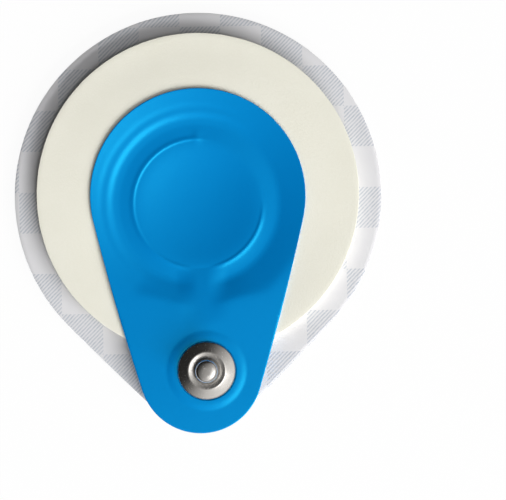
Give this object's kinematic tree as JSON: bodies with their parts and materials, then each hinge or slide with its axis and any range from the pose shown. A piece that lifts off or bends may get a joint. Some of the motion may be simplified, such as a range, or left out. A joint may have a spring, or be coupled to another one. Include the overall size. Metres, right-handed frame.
{
  "type": "ecg electrode",
  "caption": "Round foam ECG electrode with a blue formed label drawn out to a tab, an offset metal snap stud and a gel sponge, sealed on a teardrop release liner with a shallow cup.",
  "frame": {"origin": "on the gel axis, on the surface that the cup of the liner rests on", "axes": "+Z away from the skin, out of the snap; -Y from the gel along the tab to the snap; +X to the right of that, seen from above with the tab down"},
  "size_m": [0.062, 0.071, 0.0066],
  "materials": {
    "liner_film": "milky white film with a fine printed hatch",
    "foam": "fine closed-cell cream foam",
    "gel": "wet sponge",
    "silver_chloride": "dull silver coating",
    "carbon_film": "carbon-loaded film",
    "label_film": "satin blue film",
    "nickel": "nickel plate"
  },
  "bodies": {
    "root": {"release_liner": "liner_film", "foam_pad": "foam", "gel_sponge": "gel", "sensor_rivet": "silver_chloride", "conductor_strip": "carbon_film", "top_label": "label_film", "snap_stud": "nickel", "snap_eyelet": "nickel"}
  },
  "joints": []
}
